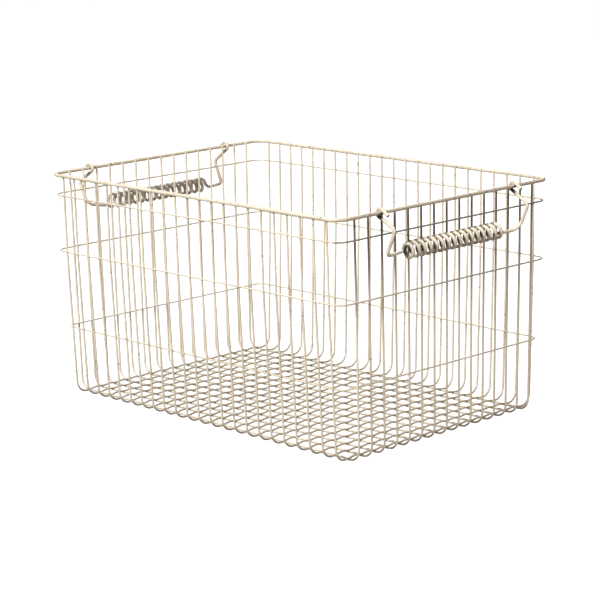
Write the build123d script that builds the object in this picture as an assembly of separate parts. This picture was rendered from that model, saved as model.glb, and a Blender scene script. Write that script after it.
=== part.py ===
from build123d import *
import math
import os

# Wire locker basket, in millimetres: +X along its length, +Z up, standing on Z = 0, centred on X and Y.

# Rim
rim_length = 432.0  # between the rim wire's centre lines, along X
rim_width = 305.0  # between the rim wire's centre lines, along Y
rim_height = 240.6  # of its centre line
rim_wire = 4.0
rim_corner = 14.0  # bend radius of the rim's centre line
rim_sides = 8

# U-shaped wires: each comes down one wall, crosses the floor and goes up the opposite wall
basket_wire = 2.2
long_wire_count = 15  # run the basket's length and lie lowest
cross_wire_count = 23  # run its width, on top of the long ones
corner_to_long_wire = 10.0  # from the end of the rim's corner to the outermost long wire
corner_to_cross_wire = 4.5
long_wire_gather = 3.6  # how far the outermost long wire has come in sideways at floor level
knee_drop = 82.0  # below the rim's centre line each wall starts to lean in more
end_knee_lean = 0.4  # how far an end wall has come in there
end_wall_lean = 2.2  # how far it has come in at floor level
side_knee_lean = 0.9
side_wall_lean = 7.2
floor_bend = 12.0  # where a wall wire turns into the floor
floor_bend_facets = 4
wire_end_rise = 1.2  # a wire's cut end above the rim's centre line
weld_bite = 0.1  # how deep two welded wires sink into each other
wire_sides = 4

# Hoops welded to the wall wires, the lower one on their inner side
hoop_wire = 1.8
hoop_drops = {"hoop_upper": 21.7, "hoop_middle": 82.0, "hoop_lower": 166.0}  # below the rim's centre line
hoop_corners = {"hoop_upper": 13.0, "hoop_middle": 13.0, "hoop_lower": 11.0}
hoops_inside = {"hoop_lower"}

# Bail handles, each one wire: hooked round the rim at both ends and wound into an open coil between
handle_wire = 3.4
handle_sides = 4
ear_clearance = 0.9  # between the rim wire and the inside of the ear
ear_tip_reach = 10.4  # the ear's cut end, out from the rim's centre line
ear_tip_drop = 2.0
kink_bend = 5.0
grip_outer = 15.2  # outside diameter of the coil
grip_pitch = 8.5
grip_half_turn_count = 31  # followed by a quarter turn
grip_start_angle = 25.0  # degrees above its axis at which the coil starts, on the inner side
grip_shift = 5.5  # from midway between the ears towards the coil's start
arm_inset = 3.0  # how far inside the coil's axis the arms' feet stand
tight_corner = 6.0  # bend radii at the arms' feet
wide_corner = 13.0
lead_bend = 4.0  # where the straight lead turns into the first coil
lead_straight = 1.0
# The handles are bent by hand and differ a little; reaches and drops are from the rim's centre line
right_hand = {"ear_spacing": 192.5, "kink_reach": 19.5, "kink_drop": 14.0, "grip_reach": 11.0, "grip_drop": 38.5}
left_hand = {"ear_spacing": 197.0, "kink_reach": 18.8, "kink_drop": 18.0, "grip_reach": 10.5, "grip_drop": 42.0}

ear_radius = (rim_wire + handle_wire) / 2 + ear_clearance
coil_radius = (grip_outer - handle_wire) / 2
coil_climb = math.atan(grip_pitch / (2 * math.pi * coil_radius))
coil_turns = grip_half_turn_count / 2 + 1 / 4


def half_flat(diameter, sides):
    """From the middle to a flat of the regular polygon that has the area of a round wire."""
    return diameter / 2 * math.sqrt(math.pi / (sides * math.tan(math.pi / sides)))


def spread(first, count):
    """Evenly spaced places from -first to +first."""
    return [first * (2 * i / (count - 1) - 1) for i in range(count)]


def swept(path, diameter, sides, facing, **how):
    """A wire of few flat sides and a round wire's area along a path. One side faces this way at the start."""
    start = Plane(origin=path @ 0, x_dir=facing, z_dir=path % 0)
    section = RegularPolygon(half_flat(diameter, sides), sides, major_radius=False, rotation=180 / sides)
    return sweep(start * section, path=path, clean=False, **how)


def bent_corner(before, corner, after, radius, facets):
    """Points along a round bend at the corner of a flat path."""
    to_before = (before - corner).normalized()
    to_after = (after - corner).normalized()
    half = math.acos(to_before.dot(to_after)) / 2
    centre = corner + (to_before + to_after).normalized() * (radius / math.sin(half))
    first = corner + to_before * (radius / math.tan(half)) - centre
    hinge = Axis((0, 0, 0), tuple(to_after.cross(to_before)))
    turn = math.degrees(math.pi - 2 * half)
    return [centre + first.rotate(hinge, turn * i / facets) for i in range(facets + 1)]


wire_half = half_flat(basket_wire, wire_sides)
layer_step = 2 * wire_half - weld_bite
leg_inset = half_flat(rim_wire, rim_sides) + wire_half - weld_bite
end_lean = (end_knee_lean, end_wall_lean)
side_lean = (side_knee_lean, side_wall_lean)


def wall_inset(drop, lean):
    """How far a wall wire's centre line stands in from the rim's, this far below it."""
    at_knee, at_floor = lean
    slope = (at_floor - at_knee) / (rim_height - knee_drop)
    return leg_inset + (at_knee * drop / knee_drop if drop < knee_drop else at_knee + slope * (drop - knee_drop))


def u_wire(place, gather, half_span, lean, height):
    """A wire along X at this place on Y, gathered towards the middle at floor level, its floor run at this height."""
    drops = (-wire_end_rise, knee_drop, rim_height - height)
    top, knee, foot = (
        Vector(half_span - wall_inset(drop, lean), place - gather * drop / rim_height, rim_height - drop)
        for drop in drops
    )
    far_top, far_knee, far_foot = (Vector(-point.X, point.Y, point.Z) for point in (top, knee, foot))
    near_bend = bent_corner(knee, foot, far_foot, floor_bend, floor_bend_facets)
    far_bend = bent_corner(foot, far_foot, far_knee, floor_bend, floor_bend_facets)
    path = Polyline(top, knee, *near_bend, *far_bend, far_knee, far_top)
    facing = (0, rim_height, -gather)
    return swept(path, basket_wire, wire_sides, facing, transition=Transition.RIGHT)


def ride_height(place, half_span, lean):
    """Height of an upper floor wire at this place along the lower ones, on their flat run or on their bends."""
    at_knee, at_floor = lean
    bend_angle = math.pi / 2 - math.atan((at_floor - at_knee) / (rim_height - knee_drop))
    past = abs(place) - (half_span - leg_inset - at_floor - floor_bend * math.tan(bend_angle / 2))
    if past <= 0:
        return wire_half + layer_step
    reach = floor_bend * math.cos(bend_angle / floor_bend_facets / 2) - layer_step
    return wire_half + floor_bend - math.sqrt(reach**2 - past**2)


def hoop(length, width, corner, height, diameter, sides):
    """A closed rounded rectangle of wire."""
    outline = RectangleRounded(length, width, corner).wire()
    return Pos(0, 0, height) * swept(outline, diameter, sides, (0, 0, 1))


def tangent_arc(start, direction, end):
    """The arc that leaves start along direction and reaches end."""
    chord = end - start
    side = direction - chord * (direction.dot(chord) / chord.dot(chord))
    angle = math.acos(direction.dot(chord.normalized()))
    middle = (start + end) / 2 + side.normalized() * (chord.length / 2 * math.tan(angle / 2))
    return ThreePointArc(start, middle, end)


def biarc(start, start_way, end, end_way):
    """Two arcs that join smoothly, from start along start_way to end along end_way."""
    chord = end - start
    ways = start_way + end_way
    a, b, c = 2 * (1 - start_way.dot(end_way)), 2 * chord.dot(ways), -chord.dot(chord)
    reach = (math.sqrt(b * b - 4 * a * c) - b) / (2 * a)
    joint = (start + end + (start_way - end_way) * reach) / 2
    half = (joint - start).normalized()
    joint_way = half * (2 * half.dot(start_way)) - start_way
    return [tangent_arc(start, start_way, joint), tangent_arc(joint, joint_way, end)]


def coil_point(hand, turn):
    """A point of the grip's coil and its direction there. The coil starts on its inner side, going up."""
    angle = math.pi - math.radians(grip_start_angle) - 2 * math.pi * turn
    across, up = math.cos(angle), math.sin(angle)
    along = grip_pitch * (turn - coil_turns / 2) - grip_shift
    point = Vector(hand["grip_reach"] + coil_radius * across, along, coil_radius * up - hand["grip_drop"])
    return point, Vector(up, math.tan(coil_climb), -across).normalized()


def coil(hand):
    """The grip's turns on biarcs of half a turn, with a quarter turn at the end."""
    places = [coil_point(hand, turn) for turn in [*(i / 2 for i in range(grip_half_turn_count + 1)), coil_turns]]
    return [arc for before, after in zip(places, places[1:]) for arc in biarc(*before, *after)]


def arm(hand, side, coil_end, way_out, corner):
    """One arm, from where the wire leaves the coil this way out to the ear's cut end."""
    lead = coil_end + way_out * (lead_straight + lead_bend * math.tan(math.pi / 4 - coil_climb / 2))
    ear_y = side * hand["ear_spacing"] / 2
    foot = Vector(hand["grip_reach"] - arm_inset, ear_y, lead.Z)
    kink = Vector(hand["kink_reach"], ear_y, -hand["kink_drop"])
    tip = Vector(ear_tip_reach, ear_y, -ear_tip_drop)
    ear_centre = Vector(0, ear_y, 0)

    def touch(point, swing_sign):
        """Where a line from point touches the ear's circle."""
        away = point - ear_centre
        swing = swing_sign * math.degrees(math.acos(ear_radius / away.length))
        return ear_centre + away.normalized().rotate(Axis.Y, swing) * ear_radius

    under, over = touch(kink, 1), touch(tip, -1)
    run = FilletPolyline(coil_end, lead, foot, kink, under, radius=[lead_bend, corner, kink_bend])
    return [*run.edges(), tangent_arc(under, (under - kink).normalized(), over), Line(over, tip)]


def handle(hand):
    """A handle of the +X end, hanging from the rim."""
    start, start_way = coil_point(hand, 0)
    end, end_way = coil_point(hand, coil_turns)
    arms = [*arm(hand, -1, start, -start_way, tight_corner), *arm(hand, 1, end, end_way, wide_corner)]
    path = Wire([piece.edge() for piece in [*arms, *coil(hand)]])
    return Pos(rim_length / 2, 0, rim_height) * swept(path, handle_wire, handle_sides, (0, 1, 0))


def least_coil_gap():
    """The least space between the grip's turns, measured on points along the coil."""
    per_turn = 72
    points = [coil_point(right_hand, i / per_turn)[0] for i in range(2 * per_turn)]
    pairs = ((a, b) for i, a in enumerate(points) for b in points[i + per_turn // 2:])
    return min((a - b).length for a, b in pairs) - handle_wire


parts = {"rim_wire": hoop(rim_length, rim_width, rim_corner, rim_height, rim_wire, rim_sides)}

hoop_step = wire_half + half_flat(hoop_wire, wire_sides) - weld_bite
for name, drop in hoop_drops.items():
    side = hoop_step if name in hoops_inside else -hoop_step
    length = rim_length - 2 * (wall_inset(drop, end_lean) + side)
    width = rim_width - 2 * (wall_inset(drop, side_lean) + side)
    parts[name] = hoop(length, width, hoop_corners[name], rim_height - drop, hoop_wire, wire_sides)

long_places = spread(rim_width / 2 - rim_corner - corner_to_long_wire, long_wire_count)
long_gathers = spread(long_wire_gather, long_wire_count)
for i, (y, gather) in enumerate(zip(long_places, long_gathers), 1):
    tilt = math.atan(abs(gather) / rim_height)
    height = wire_half * (math.cos(tilt) + math.sin(tilt))
    parts[f"long_wire_{i:02}"] = u_wire(y, gather, rim_length / 2, end_lean, height)
for i, x in enumerate(spread(rim_length / 2 - rim_corner - corner_to_cross_wire, cross_wire_count), 1):
    height = ride_height(x, rim_length / 2, end_lean)
    parts[f"cross_wire_{i:02}"] = Rot(0, 0, 90) * u_wire(-x, 0, rim_width / 2, side_lean, height)

parts["handle_right"] = handle(right_hand)
parts["handle_left"] = Rot(0, 0, 180) * handle(left_hand)

os.makedirs("parts", exist_ok=True)
for name, solid in parts.items():
    solid.label = name
    export_step(solid, f"parts/{name}.step")

print("least gap between coil turns:", round(least_coil_gap(), 2), "mm")
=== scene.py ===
import math

import bmesh
import bpy
from mathutils import Matrix, Vector


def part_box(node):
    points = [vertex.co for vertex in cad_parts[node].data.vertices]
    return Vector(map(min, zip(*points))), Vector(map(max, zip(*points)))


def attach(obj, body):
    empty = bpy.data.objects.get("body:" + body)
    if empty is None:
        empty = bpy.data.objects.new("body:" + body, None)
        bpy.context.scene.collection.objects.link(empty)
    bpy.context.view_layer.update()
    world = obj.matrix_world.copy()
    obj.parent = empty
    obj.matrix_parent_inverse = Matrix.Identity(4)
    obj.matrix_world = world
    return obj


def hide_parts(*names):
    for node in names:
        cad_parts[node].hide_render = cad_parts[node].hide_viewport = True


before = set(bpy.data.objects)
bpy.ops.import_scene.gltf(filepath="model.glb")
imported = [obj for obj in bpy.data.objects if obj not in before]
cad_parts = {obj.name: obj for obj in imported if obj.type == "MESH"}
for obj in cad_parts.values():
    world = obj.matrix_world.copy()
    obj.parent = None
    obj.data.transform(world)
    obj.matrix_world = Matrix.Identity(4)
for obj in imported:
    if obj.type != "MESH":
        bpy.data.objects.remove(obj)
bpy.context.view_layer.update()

mm = 0.001
print("frame loaded:", len(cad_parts), "nodes")


# the basket's own places, read from the frame

def middleOf(node):
    low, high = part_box(node)
    return (low + high) / 2


rimLow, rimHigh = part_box("rim_wire")
rimGirth = rimHigh.z - rimLow.z
rimHeight = (rimLow.z + rimHigh.z) / 2
halfLength = rimHigh.x - rimGirth / 2  # to the rim's centre line
halfWidth = rimHigh.y - rimGirth / 2
longNodes = sorted(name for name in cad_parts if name.startswith("long_wire"))
crossNodes = sorted(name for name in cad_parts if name.startswith("cross_wire"))
crossPlaces = [middleOf(name).x for name in crossNodes]


def gatheredPlaces(node):
    # the long wires lean sideways towards the middle: their place at the rim, and at the floor
    low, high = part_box(node)
    outer, inner = (high.y, low.y) if high.y > -low.y else (low.y, high.y)
    half = math.copysign(longHalf, outer)
    return outer - half, inner + half


middleLow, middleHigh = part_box(longNodes[len(longNodes) // 2])
longHalf = (middleHigh.y - middleLow.y) / 2
longPlaces = [gatheredPlaces(name) for name in longNodes]


# paint, one finish for every wire, with the tarnish of years of use, and painted shade: the same dark brown laid
# on where shade falls

paint = {
    "pale": (0.68, 0.61, 0.50, 1),
    "warm": (0.60, 0.52, 0.40, 1),
    # dark brown of the tarnish specks, also the colour of all painted shade
    "tarnishAndShade": (0.042, 0.023, 0.014, 1),
    "steel": (0.33, 0.32, 0.30, 1),
    "patchScale": 22.0,
    "patchRamp": (0.35, 0.62),  # noise values where warm ends and pale begins
    "speckScale": 420.0,
    "speckRamp": (0.62, 0.80),  # noise values where wear starts and is full
    "shadeRamp": (0.1, 0.4),
    "roughness": (0.34, 0.54),
    "tarnishRoughness": 0.85,
    "orangePeel": 0.12,
    "peelDepth": 0.1 * mm,
}
cutEnd = {
    "grainScale": 1680.0,
    "metallic": 0.8,
    "roughness": (0.35, 0.7),
}


def joinValues(tree, operation, first, *others):
    for other in others:
        join = tree.nodes.new("ShaderNodeMath")
        join.operation = operation
        for socket, value in zip(join.inputs, (first, other)):
            if isinstance(value, float):
                socket.default_value = value
            else:
                tree.links.new(value, socket)
        first = join.outputs[0]
    return first


def multiply(tree, *values):
    return joinValues(tree, "MULTIPLY", *values)


def greatest(tree, *values):
    return joinValues(tree, "MAXIMUM", *values)


def eitherSide(tree, value):
    return joinValues(tree, "ABSOLUTE", value, 0.0)


def fade(tree, value, clear, full):
    ramp = tree.nodes.new("ShaderNodeMapRange")
    ramp.interpolation_type = "SMOOTHSTEP"
    ramp.inputs["From Min"].default_value, ramp.inputs["From Max"].default_value = sorted((clear, full))
    ramp.inputs["To Min"].default_value, ramp.inputs["To Max"].default_value = (0, 1) if full > clear else (1, 0)
    tree.links.new(value, ramp.inputs["Value"])
    return ramp.outputs["Result"]


def paintedSteel(name, tarnishReach, shadeMask=None):
    material = bpy.data.materials.new(name)
    material.use_nodes = True
    tree = material.node_tree
    nodes, links = tree.nodes, tree.links
    shader = nodes["Principled BSDF"]
    place = nodes.new("ShaderNodeTexCoord")

    patches = nodes.new("ShaderNodeTexNoise")
    patches.inputs["Scale"].default_value = paint["patchScale"]
    patches.inputs["Detail"].default_value = 3
    links.new(place.outputs["Object"], patches.inputs["Vector"])
    tone = nodes.new("ShaderNodeValToRGB")
    for element, position, colour in zip(tone.color_ramp.elements, paint["patchRamp"], ("warm", "pale")):
        element.position = position
        element.color = paint[colour]
    links.new(patches.outputs["Fac"], tone.inputs["Fac"])

    specks = nodes.new("ShaderNodeTexNoise")
    specks.inputs["Scale"].default_value = paint["speckScale"]
    specks.inputs["Detail"].default_value = 4
    links.new(place.outputs["Object"], specks.inputs["Vector"])
    wearAndShade = fade(tree, specks.outputs["Fac"], *(value - tarnishReach for value in paint["speckRamp"]))
    # painted shade: the shade mask, grained by the specks, darkens the paint to the dark brown where shade falls
    if shadeMask:
        parts = nodes.new("ShaderNodeSeparateXYZ")
        links.new(place.outputs["Object"], parts.inputs[0])
        grain = fade(tree, specks.outputs["Fac"], *paint["shadeRamp"])
        wearAndShade = greatest(tree, wearAndShade, multiply(tree, shadeMask(tree, *parts.outputs), grain))

    coat = nodes.new("ShaderNodeMix")
    coat.data_type = "RGBA"
    coat.inputs[7].default_value = paint["tarnishAndShade"]
    links.new(wearAndShade, coat.inputs[0])
    links.new(tone.outputs["Color"], coat.inputs[6])
    links.new(coat.outputs[2], shader.inputs["Base Color"])

    gloss = nodes.new("ShaderNodeMapRange")
    gloss.inputs["To Min"].default_value, gloss.inputs["To Max"].default_value = paint["roughness"]
    links.new(specks.outputs["Fac"], gloss.inputs["Value"])
    dulled = multiply(tree, wearAndShade, paint["tarnishRoughness"])
    links.new(greatest(tree, gloss.outputs["Result"], dulled), shader.inputs["Roughness"])

    bump = nodes.new("ShaderNodeBump")
    bump.inputs["Strength"].default_value = paint["orangePeel"]
    bump.inputs["Distance"].default_value = paint["peelDepth"]
    links.new(specks.outputs["Fac"], bump.inputs["Height"])
    links.new(bump.outputs["Normal"], shader.inputs["Normal"])
    return material


def bareSteel(name):
    material = bpy.data.materials.new(name)
    material.use_nodes = True
    nodes, links = material.node_tree.nodes, material.node_tree.links
    shader = nodes["Principled BSDF"]
    shader.inputs["Metallic"].default_value = cutEnd["metallic"]
    place = nodes.new("ShaderNodeTexCoord")
    grain = nodes.new("ShaderNodeTexNoise")
    grain.inputs["Scale"].default_value = cutEnd["grainScale"]
    links.new(place.outputs["Object"], grain.inputs["Vector"])
    tone = nodes.new("ShaderNodeValToRGB")
    tone.color_ramp.elements[0].color = paint["tarnishAndShade"]
    tone.color_ramp.elements[1].color = paint["steel"]
    links.new(grain.outputs["Fac"], tone.inputs["Fac"])
    links.new(tone.outputs["Color"], shader.inputs["Base Color"])
    rough = nodes.new("ShaderNodeMapRange")
    rough.inputs["To Min"].default_value, rough.inputs["To Max"].default_value = cutEnd["roughness"]
    links.new(grain.outputs["Fac"], rough.inputs["Value"])
    links.new(rough.outputs["Result"], shader.inputs["Roughness"])
    return material


# how deep each painted shade is, and between which places it fades in: clear first, full second

paintedShade = {
    "upperWall": 0.82,  # painted shade on the +X end wall, below the rim
    # painted shade on the hoops at the +X end
    "upperHoop": 0.65,
    "endWall": (-11 * mm, -7 * mm),  # from the rim's centre line
    "wallRise": (130 * mm, 205 * mm),
    "wallTop": (-1 * mm, -2 * mm),
    # painted shade on the wire feet at the +X end, near the floor
    "endFeet": 0.6,
    "feetReach": (180 * mm, 190 * mm),
    "feetRise": (8 * mm, 3 * mm),
    # painted shade on the cross wires along the floor
    "floorStrands": 0.38,
    "strandRise": (12 * mm, 4 * mm),
    # painted shade on the rim's underside where the ears hook over it
    "earContact": 1.0,
    "earPlace": 96.5 * mm,
    "earReach": (5.5 * mm, 2.5 * mm),
    "rimUnderside": (0.8 * mm, -0.6 * mm),
    "rimEnds": (-4 * mm, -3 * mm),
    # painted shade on the rim's +X end
    "endRim": 0.22,
    "endRimReach": (-8 * mm, -3 * mm),
    # painted shade inside the coils and inside the ears
    "gripPlace": 11 * mm,  # out from the rim
    "coilHalf": (74 * mm, 71 * mm),
    "coilInside": (2.5 * mm, -2.5 * mm),
    "coilTop": (-3 * mm, 1 * mm),
    "earInside": (-5 * mm, -9 * mm),
    "earUnderside": (-0.5 * mm, -2.5 * mm),
    "kinkTop": (-12 * mm, -9 * mm),
}


def fadeFrom(tree, value, base, name):
    clear, full = paintedShade[name]
    return fade(tree, value, base + clear, base + full)


# painted shade: the +X end wall darkens from 130 mm up to just below the rim, and the wire feet at the +X end
# darken near the floor
def wallShade(tree, x, y, z, depth):
    endWall = fadeFrom(tree, x, halfLength, "endWall")
    below = fadeFrom(tree, z, rimHeight, "wallTop")
    upper = fadeFrom(tree, z, 0, "wallRise")
    feet = multiply(tree, fadeFrom(tree, x, 0, "feetReach"), fadeFrom(tree, z, 0, "feetRise"), paintedShade["endFeet"])
    return greatest(tree, multiply(tree, endWall, upper, below, depth), feet)


# painted shade: the cross wires darken where they run along the floor
def strandShade(tree, x, y, z):
    return multiply(tree, fadeFrom(tree, z, 0, "strandRise"), paintedShade["floorStrands"])


# painted shade: the rim's underside darkens where each ear hooks over it, at both ends, and the whole rim darkens
# a little at its +X end
def rimShade(tree, x, y, z):
    fromEar = eitherSide(tree, joinValues(tree, "SUBTRACT", eitherSide(tree, y), paintedShade["earPlace"]))
    nearEar = fadeFrom(tree, fromEar, 0, "earReach")
    under = fadeFrom(tree, z, rimHeight, "rimUnderside")
    atEnd = fadeFrom(tree, eitherSide(tree, x), halfLength, "rimEnds")
    contact = multiply(tree, nearEar, under, atEnd, paintedShade["earContact"])
    endShade = multiply(tree, fadeFrom(tree, x, halfLength, "endRimReach"), paintedShade["endRim"])
    return greatest(tree, contact, endShade)


# painted shade: the inward side of the coil darkens on its upper half, less on its lower half, and the ear's arm
# darkens just below the rim, close to the end wall
def gripShade(tree, x, y, z, hand):
    axisHeight = rimHeight + hand["grip"][1]
    reach = joinValues(tree, "SUBTRACT", eitherSide(tree, x), halfLength + paintedShade["gripPlace"])
    onCoil = fadeFrom(tree, eitherSide(tree, y), 0, "coilHalf")
    inward = fadeFrom(tree, reach, 0, "coilInside")
    upper = greatest(tree, fadeFrom(tree, z, axisHeight, "coilTop"), hand["lowerShade"])
    onGrip = multiply(tree, onCoil, inward, hand["gripShade"], upper)
    nearEar = fadeFrom(tree, reach, 0, "earInside")
    belowRim = fadeFrom(tree, z, rimHeight, "earUnderside")
    aboveKink = fadeFrom(tree, z, rimHeight, "kinkTop")
    return greatest(tree, onGrip, multiply(tree, nearEar, hand["earShade"], belowRim, aboveKink))


creamPaint = paintedSteel("creamPaint", 0.0)
# the wall and hoop paints carry painted shade at the +X end
wallShadePaint = paintedSteel("wallShadePaint", 0.0, lambda *place: wallShade(*place, paintedShade["upperWall"]))
hoopShadePaint = paintedSteel("hoopShadePaint", 0.0, lambda *place: wallShade(*place, paintedShade["upperHoop"]))
# the floor-strand paint carries painted shade along the floor
strandShadePaint = paintedSteel("strandShadePaint", 0.04, strandShade)
# the rim paint carries painted shade under the ears and at the +X end
rimShadePaint = paintedSteel("rimShadePaint", 0.05, rimShade)
weldPaint = paintedSteel("weldPaint", 0.25)
cutSteel = bareSteel("cutSteel")
print("finishes made")


# a wire is drawn as a bender would: a ring of edges pushed straight or turned round a centre

bending = {"stepAngle": math.radians(15), "sides": 12}


def startWire(point, towards, gauge, capped=True):
    mesh = bmesh.new()
    way = (towards - point).normalized()
    place = Matrix.Translation(point) @ way.to_track_quat("Z", "Y").to_matrix().to_4x4()
    bmesh.ops.create_circle(mesh, cap_ends=capped, segments=bending["sides"], radius=gauge / 2, matrix=place)
    return {"mesh": mesh, "at": point.copy(), "ring": mesh.edges[:]}


def goStraight(wire, point):
    grown = bmesh.ops.extrude_edge_only(wire["mesh"], edges=wire["ring"])["geom"]
    verts = {part for part in grown if isinstance(part, bmesh.types.BMVert)}
    bmesh.ops.translate(wire["mesh"], verts=list(verts), vec=point - wire["at"])
    wire["ring"] = [part for part in grown if isinstance(part, bmesh.types.BMEdge) and set(part.verts) <= verts]
    wire["at"] = point.copy()


def goRound(wire, centre, axis, angle, climb=0.0):
    steps = max(2, math.ceil(abs(angle) / bending["stepAngle"]))
    turned = bmesh.ops.spin(
        wire["mesh"], geom=wire["ring"], cent=centre, axis=axis, dvec=axis * (climb / steps),
        angle=angle, steps=steps, use_merge=False, use_normal_flip=False, use_duplicate=False,
    )
    wire["ring"] = [part for part in turned["geom_last"] if isinstance(part, bmesh.types.BMEdge)]
    wire["at"] = centre + Matrix.Rotation(angle, 3, axis) @ (wire["at"] - centre) + axis * climb


def goCorners(wire, corners, bends, end):
    for corner, after, bend in zip(corners, [*corners[1:], end], bends):
        way = (corner - wire["at"]).normalized()
        out = (after - corner).normalized()
        angle = way.angle(out)
        goStraight(wire, corner - way * bend * math.tan(angle / 2))
        axis = way.cross(out).normalized()
        goRound(wire, wire["at"] + axis.cross(way) * bend, axis, angle)
    goStraight(wire, end)


def finishWire(wire, name, body, nodes, capped=True, material=None):
    mesh = wire["mesh"]
    if capped:
        bmesh.ops.edgeloop_fill(mesh, edges=wire["ring"])
    else:
        bmesh.ops.remove_doubles(mesh, verts=mesh.verts[:], dist=0.01 * mm)
    bmesh.ops.recalc_face_normals(mesh, faces=mesh.faces[:])
    for face in mesh.faces:
        face.smooth = len(face.verts) == 4
        if not face.smooth:
            face.material_index = 1
            for edge in face.edges:
                edge.smooth = False
    return finishPiece(mesh, name, body, nodes, (material or creamPaint, cutSteel))


def finishPiece(mesh, name, body, nodes, materials):
    data = bpy.data.meshes.new(name)
    mesh.to_mesh(data)
    mesh.free()
    piece = bpy.data.objects.new(name, data)
    bpy.context.scene.collection.objects.link(piece)
    for material in materials:
        data.materials.append(material)
    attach(piece, body)
    if nodes:
        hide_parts(*nodes)
    return piece


# rim and hoops, closed rounded rectangles

def closedWire(halfX, halfY, corner, height, gauge):
    start = Vector((0, -halfY, height))
    wire = startWire(start, start + Vector((1, 0, 0)), gauge, capped=False)
    places = ((halfX, -halfY), (halfX, halfY), (-halfX, halfY), (-halfX, -halfY))
    corners = [Vector((x, y, height)) for x, y in places]
    goCorners(wire, corners, [corner] * 4, start)
    return wire


walls = {
    "gauge": 2.2 * mm,
    "kneeDrop": 82 * mm,
    "endInsets": (2.9 * mm, 3.3 * mm, 5.1 * mm),  # centre line to the rim's at the top, the knee and the floor
    "sideInsets": (2.9 * mm, 3.8 * mm, 10.1 * mm),
    "footBend": 12 * mm,
    "kneeBend": 60 * mm,
    "endRise": 1.1 * mm,
}
hoops = {
    "gauge": 1.8 * mm,
    "bite": 0.1 * mm,  # how deep the weld draws a hoop into a wall wire
    "hoop_upper": {"piece": "hoopUpper", "corner": 13 * mm, "side": -1},
    "hoop_middle": {"piece": "hoopMiddle", "corner": 13 * mm, "side": -1},
    "hoop_lower": {"piece": "hoopLower", "corner": 11 * mm, "side": 1},
}
hoopNodes = ("hoop_upper", "hoop_middle", "hoop_lower")
rim = {"corner": 14 * mm, "gauge": rimGirth}


def wallInset(insets, drop):
    top, knee, foot = insets
    if drop < walls["kneeDrop"]:
        return top + (knee - top) * drop / walls["kneeDrop"]
    return knee + (foot - knee) * (drop - walls["kneeDrop"]) / (rimHeight - walls["kneeDrop"])


def wallInsets(height):
    return [wallInset(walls[wall], rimHeight - height) for wall in ("endInsets", "sideInsets")]


rimRing = closedWire(halfLength, halfWidth, rim["corner"], rimHeight, rim["gauge"])
finishWire(rimRing, "rimWire", "basket", ["rim_wire"], capped=False, material=rimShadePaint)
for node in hoopNodes:
    hoop = hoops[node]
    hoop["height"] = middleOf(node).z
    step = hoop["side"] * ((walls["gauge"] + hoops["gauge"]) / 2 - hoops["bite"])
    hoop["insets"] = [inset + step for inset in wallInsets(hoop["height"])]
    halfX, halfY = halfLength - hoop["insets"][0], halfWidth - hoop["insets"][1]
    ring = closedWire(halfX, halfY, hoop["corner"], hoop["height"], hoops["gauge"])
    finishWire(ring, hoop["piece"], "basket", [node], capped=False, material=hoopShadePaint)
print("rim and hoops made")


# U-shaped wires: down a wall, crimped through the floor, and up the opposite wall

floors = {
    "waveShare": 0.95,  # of the bend that would leave no straight between two crossings
    "long": {"crossing": 1.35 * mm, "hump": 1.85 * mm, "foot": 1.35 * mm},  # heights of the centre line
    "cross": {"crossing": 2.95 * mm, "hump": 3.85 * mm, "foot": 1.25 * mm},
}


def floorKnots(crossings, crimp):
    # the arcs between the corners swing half as far as the corners do
    middle, swing = (crimp["crossing"] + crimp["hump"]) / 2, crimp["hump"] - crimp["crossing"]
    knots = []
    for here, after in zip(crossings, [*crossings[1:], None]):
        knots.append((here, middle - swing))
        if after is not None:
            knots.append(((here + after) / 2, middle + swing))
    return knots


def crimpedWire(name, node, turned, places, halfSpan, insets, crossings, crimp, material):
    def at(along, height):
        place = places[1] + (places[0] - places[1]) * height / rimHeight
        return Vector((place, along, height)) if turned else Vector((along, place, height))

    top, knee, foot = (halfSpan - inset for inset in insets)
    topHeight = rimHeight + walls["endRise"]
    kneeHeight = rimHeight - walls["kneeDrop"]
    knots = floorKnots(crossings, crimp)
    step = knots[1][0] - knots[0][0]
    slant = math.atan(abs(knots[1][1] - knots[0][1]) / step)
    wave = floors["waveShare"] * step / 2 / math.sin(slant)
    corners = [at(-knee, kneeHeight), at(-foot, crimp["foot"])] + [at(*knot) for knot in knots]
    corners += [at(foot, crimp["foot"]), at(knee, kneeHeight)]
    ends = [walls["kneeBend"], walls["footBend"], wave / 4]
    wire = startWire(at(-top, topHeight), corners[0], walls["gauge"])
    goCorners(wire, corners, ends + [wave] * (len(knots) - 2) + ends[::-1], at(top, topHeight))
    return finishWire(wire, name, "basket", [node], material=material)


floorPlaces = [floorPlace for rimPlace, floorPlace in longPlaces]
for count, (node, places) in enumerate(zip(longNodes, longPlaces), 1):
    crimpedWire(
        f"longWire{count:02}", node, False, places, halfLength, walls["endInsets"],
        crossPlaces, floors["long"], wallShadePaint,
    )
for count, (node, place) in enumerate(zip(crossNodes, crossPlaces), 1):
    crimpedWire(
        f"crossWire{count:02}", node, True, (place, place), halfWidth, walls["sideInsets"],
        floorPlaces, floors["cross"], strandShadePaint,
    )
print("wall and floor wires made")


# bail handles: an ear hooked over the rim at each end and an open coil for the grip

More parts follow.
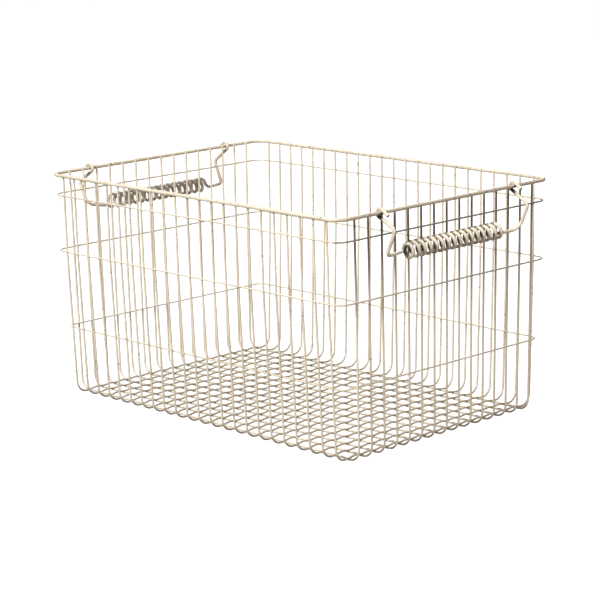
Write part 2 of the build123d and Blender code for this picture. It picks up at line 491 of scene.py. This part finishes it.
bail = {
    "gauge": 3.6 * mm,
    "earRadius": 4.38 * mm,
    "tip": (10.2 * mm, -2.0 * mm),  # out from the rim's centre line, and up
    "kinkBend": 5 * mm,
    "armInset": 3.0 * mm,
    "tightCorner": 6 * mm,
    "wideCorner": 11 * mm,
    "endBend": 4 * mm,
    "leadRun": 0.6 * mm,
    "flatShare": 0.15,  # how much of the pitch the first half turn climbs
    "right": {
        "side": 1, "earSpacing": 192.5 * mm, "kinkReach": 19.3 * mm,
        "kinks": (-14.0 * mm, -16.4 * mm), "feet": (-41.2 * mm, -43.0 * mm),  # heights at the coil's start and end
        "grip": (10.3 * mm, -38.5 * mm), "pitch": 8.5 * mm, "turns": 15.786, "shift": 7.2 * mm,
        "startAngle": math.radians(12), "startBend": 2.6 * mm,
        "coilRadius": 7.3 * mm, "firstRadius": 6.2 * mm,
        # depths of painted shade inside the coil, on its lower half, and inside the ears
        "gripShade": 0.94, "lowerShade": 0.95, "earShade": 1.0,
    },
    "left": {
        "side": -1, "earSpacing": 197.0 * mm, "kinkReach": 18.5 * mm,
        "kinks": (-19.0 * mm, -17.0 * mm), "feet": (-43.8 * mm, -41.0 * mm),
        "grip": (10.5 * mm, -42.0 * mm), "pitch": 8.7 * mm, "turns": 15.75, "shift": 5.0 * mm,
        "startAngle": math.radians(25), "startBend": 5 * mm,
        "coilRadius": 6.8 * mm, "firstRadius": 6.8 * mm,
        "gripShade": 0.62, "lowerShade": 0.1, "earShade": 0.2,
    },
}


def bailWire(hand):
    # the handle of the -X end is turned half round
    side = hand["side"]

    def at(out, along, rise):
        return Vector((side * (halfLength + out), side * along, rimHeight + rise))

    def way(out, along, rise):
        return Vector((side * out, side * along, rise)).normalized()

    axis = way(0, 1, 0)
    gripOut, gripRise = hand["grip"]
    pitch, turns, startAngle, coilRadius = hand["pitch"], hand["turns"], hand["startAngle"], hand["coilRadius"]
    climb = pitch / (2 * math.pi * coilRadius)
    firstTurn = (math.pi - startAngle) / (2 * math.pi)  # round to the front, almost in one plane
    firstPitch = bail["flatShare"] * pitch
    firstOut = gripOut + coilRadius - hand["firstRadius"]

    def coilPlace(turn, out, radius, climb):
        angle = math.pi - startAngle - 2 * math.pi * turn
        across, up = math.cos(angle), math.sin(angle)
        along = pitch * (turn - turns / 2) - hand["shift"] + (pitch - firstPitch) * max(0.0, firstTurn - turn)
        return at(out + radius * across, along, gripRise + radius * up), way(up, climb, -across)

    def leadLength(bend, climb):
        return bail["leadRun"] + bend * math.tan((math.pi / 2 - math.atan(climb)) / 2)

    coilStart, startWay = coilPlace(0, firstOut, hand["firstRadius"], climb * firstPitch / pitch)
    coilEnd, endWay = coilPlace(turns, gripOut, coilRadius, climb)

    def earPlaces(end):
        along = end * hand["earSpacing"] / 2
        centre = at(0, along, 0)
        tip = at(bail["tip"][0], along, bail["tip"][1])
        kink = at(hand["kinkReach"], along, hand["kinks"][end > 0])

        def touch(point, sign):
            away = point - centre
            swing = sign * math.acos(bail["earRadius"] / away.length)
            return centre + Matrix.Rotation(swing, 3, axis) @ away.normalized() * bail["earRadius"]

        return centre, tip, kink, touch(tip, -1), touch(kink, 1)

    centre, tip, kink, over, under = earPlaces(-1)
    wire = startWire(tip, over, bail["gauge"])
    goStraight(wire, over)
    goRound(wire, centre, axis, -earTurn(over - centre, under - centre, axis))
    lead = coilStart - startWay * leadLength(hand["startBend"], 0)
    foot = at(gripOut - bail["armInset"], -hand["earSpacing"] / 2, hand["feet"][0])
    goCorners(wire, [kink, foot, lead], [bail["kinkBend"], bail["tightCorner"], hand["startBend"]], coilStart)

    for out, part, rise in ((firstOut, firstTurn, firstPitch), (gripOut, turns - firstTurn, pitch)):
        goRound(wire, at(out, 0, gripRise), axis, 2 * math.pi * part, rise * part)

    centre, tip, kink, over, under = earPlaces(1)
    lead = coilEnd + endWay * leadLength(bail["endBend"], climb)
    foot = at(gripOut - bail["armInset"], hand["earSpacing"] / 2, hand["feet"][1])
    goCorners(wire, [lead, foot, kink], [bail["endBend"], bail["wideCorner"], bail["kinkBend"]], under)
    goRound(wire, centre, axis, earTurn(over - centre, under - centre, axis))
    goStraight(wire, tip)
    return wire


def earTurn(first, last, axis):
    # the long way round from one spoke to the other, seen against the axis
    across = axis.cross(first)
    angle = math.atan2(last.dot(across), last.dot(first))
    return -angle if angle < 0 else 2 * math.pi - angle


for side in ("right", "left"):
    # each handle's paint carries painted shade inside its coil and ears
    gripShadePaint = paintedSteel(side + "GripShadePaint", 0.02, lambda *place: gripShade(*place, bail[side]))
    finishWire(bailWire(bail[side]), "bail" + side.title(), "bail_" + side, ["handle_" + side], material=gripShadePaint)
print("bail handles made")


# weld spots where a wall wire meets the rim or a hoop

weld = {
    "radius": 0.95 * mm,
    "flatness": 0.75,
    "rimDrop": 0.9 * mm,
    "rimShift": 0.4 * mm,
    "hoopDrop": 0.5 * mm,
}


def wallPlaces(height, insets):
    endInset, sideInset = insets
    for x in crossPlaces:
        yield from ((x, halfWidth - sideInset, height), (x, sideInset - halfWidth, height))
    for rimPlace, floorPlace in longPlaces:
        y = floorPlace + (rimPlace - floorPlace) * height / rimHeight
        yield from ((halfLength - endInset, y, height), (endInset - halfLength, y, height))


def weldSpots(name, height, insets):
    spots = bmesh.new()
    for place in wallPlaces(height, insets):
        squash = Matrix.Diagonal((1, 1, weld["flatness"], 1))
        bmesh.ops.create_icosphere(
            spots, subdivisions=2, radius=weld["radius"], matrix=Matrix.Translation(place) @ squash
        )
    for face in spots.faces:
        face.smooth = True
    return finishPiece(spots, name, "basket", [], (weldPaint,))


rimSpots = [walls[wall][0] / 2 + weld["rimShift"] for wall in ("endInsets", "sideInsets")]
weldSpots("rimWelds", rimHeight - weld["rimDrop"], rimSpots)
for node in hoopNodes:
    hoop = hoops[node]
    between = [sum(pair) / 2 for pair in zip(wallInsets(hoop["height"]), hoop["insets"])]
    weldSpots(hoop["piece"] + "Welds", hoop["height"] - weld["hoopDrop"], between)
print("welds made")


# studio: pale floor, soft lights, and a camera at the photograph's angle

studio = {
    "floorSize": 60.0,
    "floorTone": (0.32, 0.32, 0.32, 1),
    "floorRoughness": 0.9,
    "floorLight": (1, 1, 1, 1),
    "floorGlow": 0.92,
    "world": (1.0, 0.85, 0.7, 1),
    "worldStrength": 0.19,
    "key": {"place": (0.35, -2.9, 1.8), "size": 1.0, "watts": 122.0},
    "fill": {"place": (2.6, -0.6, 0.5), "size": 1.5, "watts": 26.0},
    "back": {"place": (-2.0, 2.3, 1.4), "size": 1.6, "watts": 38.0},
    "top": {"place": (0.2, -0.3, 3.2), "size": 1.6, "watts": 58.0},
}
camera = {
    "azimuth": math.radians(46.105),
    "elevation": math.radians(12.527),
    "roll": math.radians(-1.263),
    "aim": Vector((0.003, 0.001, 0.109)),
    "distance": 2.3413,
    "lens": 133.36,
}

floorMesh = bmesh.new()
bmesh.ops.create_grid(floorMesh, x_segments=2, y_segments=2, size=studio["floorSize"] / 2)
floorData = bpy.data.meshes.new("studioFloor")
floorMesh.to_mesh(floorData)
floorMesh.free()
floor = bpy.data.objects.new("studioFloor", floorData)
bpy.context.scene.collection.objects.link(floor)
floorPaint = bpy.data.materials.new("floorPaint")
floorPaint.use_nodes = True
floorShader = floorPaint.node_tree.nodes["Principled BSDF"].inputs
floorShader["Base Color"].default_value = studio["floorTone"]
floorShader["Roughness"].default_value = studio["floorRoughness"]
floorShader["Emission Color"].default_value = studio["floorLight"]
floorShader["Emission Strength"].default_value = studio["floorGlow"]
floorData.materials.append(floorPaint)
floor.visible_diffuse = floor.visible_glossy = False  # a white sweep without its glow on the wires
bpy.context.scene.view_settings.view_transform = "Standard"

world = bpy.data.worlds.new("softWorld")
bpy.context.scene.world = world
world.use_nodes = True
world.node_tree.nodes["Background"].inputs["Color"].default_value = studio["world"]
world.node_tree.nodes["Background"].inputs["Strength"].default_value = studio["worldStrength"]

for name in ("key", "fill", "back", "top"):
    setting = studio[name]
    lamp = bpy.data.lights.new(name + "Light", "AREA")
    lamp.shape = "DISK"
    lamp.size = setting["size"]
    lamp.energy = setting["watts"]
    lampObject = bpy.data.objects.new(name + "Light", lamp)
    lampObject.location = setting["place"]
    lampObject.rotation_euler = (camera["aim"] - lampObject.location).to_track_quat("-Z", "Y").to_euler()
    bpy.context.scene.collection.objects.link(lampObject)

viewWay = Vector((
    -math.sin(camera["azimuth"]) * math.cos(camera["elevation"]),
    math.cos(camera["azimuth"]) * math.cos(camera["elevation"]),
    -math.sin(camera["elevation"]),
))
cameraData = bpy.data.cameras.new("photoCamera")
cameraData.lens = camera["lens"]
cameraData.clip_end = 100
cameraObject = bpy.data.objects.new("photoCamera", cameraData)
levelTurn = viewWay.to_track_quat("-Z", "Y").to_matrix()
cameraObject.matrix_world = (
    Matrix.Translation(camera["aim"] - viewWay * camera["distance"])
    @ (levelTurn @ Matrix.Rotation(camera["roll"], 3, "Z")).to_4x4()
)
bpy.context.scene.collection.objects.link(cameraObject)
bpy.context.scene.camera = cameraObject
print("studio made")
